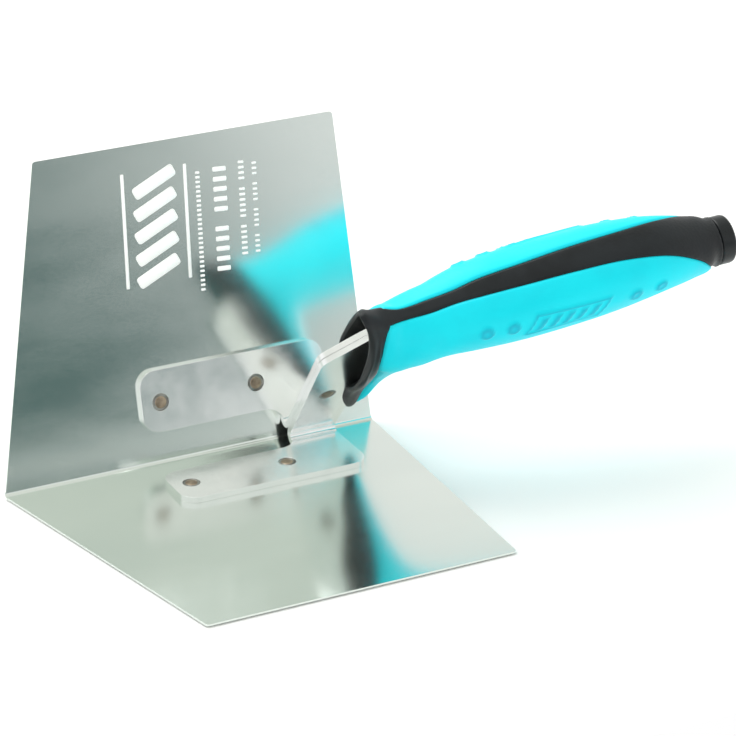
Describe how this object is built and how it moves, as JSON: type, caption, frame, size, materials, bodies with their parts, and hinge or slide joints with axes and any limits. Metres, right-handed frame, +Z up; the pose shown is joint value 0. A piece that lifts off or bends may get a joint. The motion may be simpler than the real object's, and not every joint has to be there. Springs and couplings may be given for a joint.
{
  "type": "inside corner trowel",
  "caption": "Inside corner trowel: sheet steel blade folded a little past square, a riveted two-plate tang and a hooded two-tone moulded handle with a finger guard.",
  "frame": {"origin": "middle of the tool's bounding box at the bench it rests on, with its right wing flat on that bench", "axes": "+X along the fold towards the handle's butt, -Y up the resting right wing, +Z up from the bench"},
  "size_m": [0.2276, 0.125, 0.0995],
  "materials": {
    "blade_steel": "satin rolled stainless sheet that still mirrors softly",
    "plate_steel": "polished stainless plate with fine handling scratches",
    "rivet_steel": "flush rivet end, ground flat, warm grey",
    "core_plastic": "hard black plastic with a fine leather grain",
    "grip_rubber": "smooth turquoise soft-touch grip",
    "cap_plastic": "smooth black plastic"
  },
  "bodies": {
    "root": {"blade": "blade_steel", "bracket_left": "plate_steel", "bracket_right": "plate_steel", "rivet_left_front": "rivet_steel", "rivet_left_rear": "rivet_steel", "rivet_right_front": "rivet_steel", "rivet_right_rear": "rivet_steel", "rivet_tang": "rivet_steel", "handle_core": "core_plastic", "soft_grip": "grip_rubber", "butt_cap": "cap_plastic"}
  },
  "joints": []
}
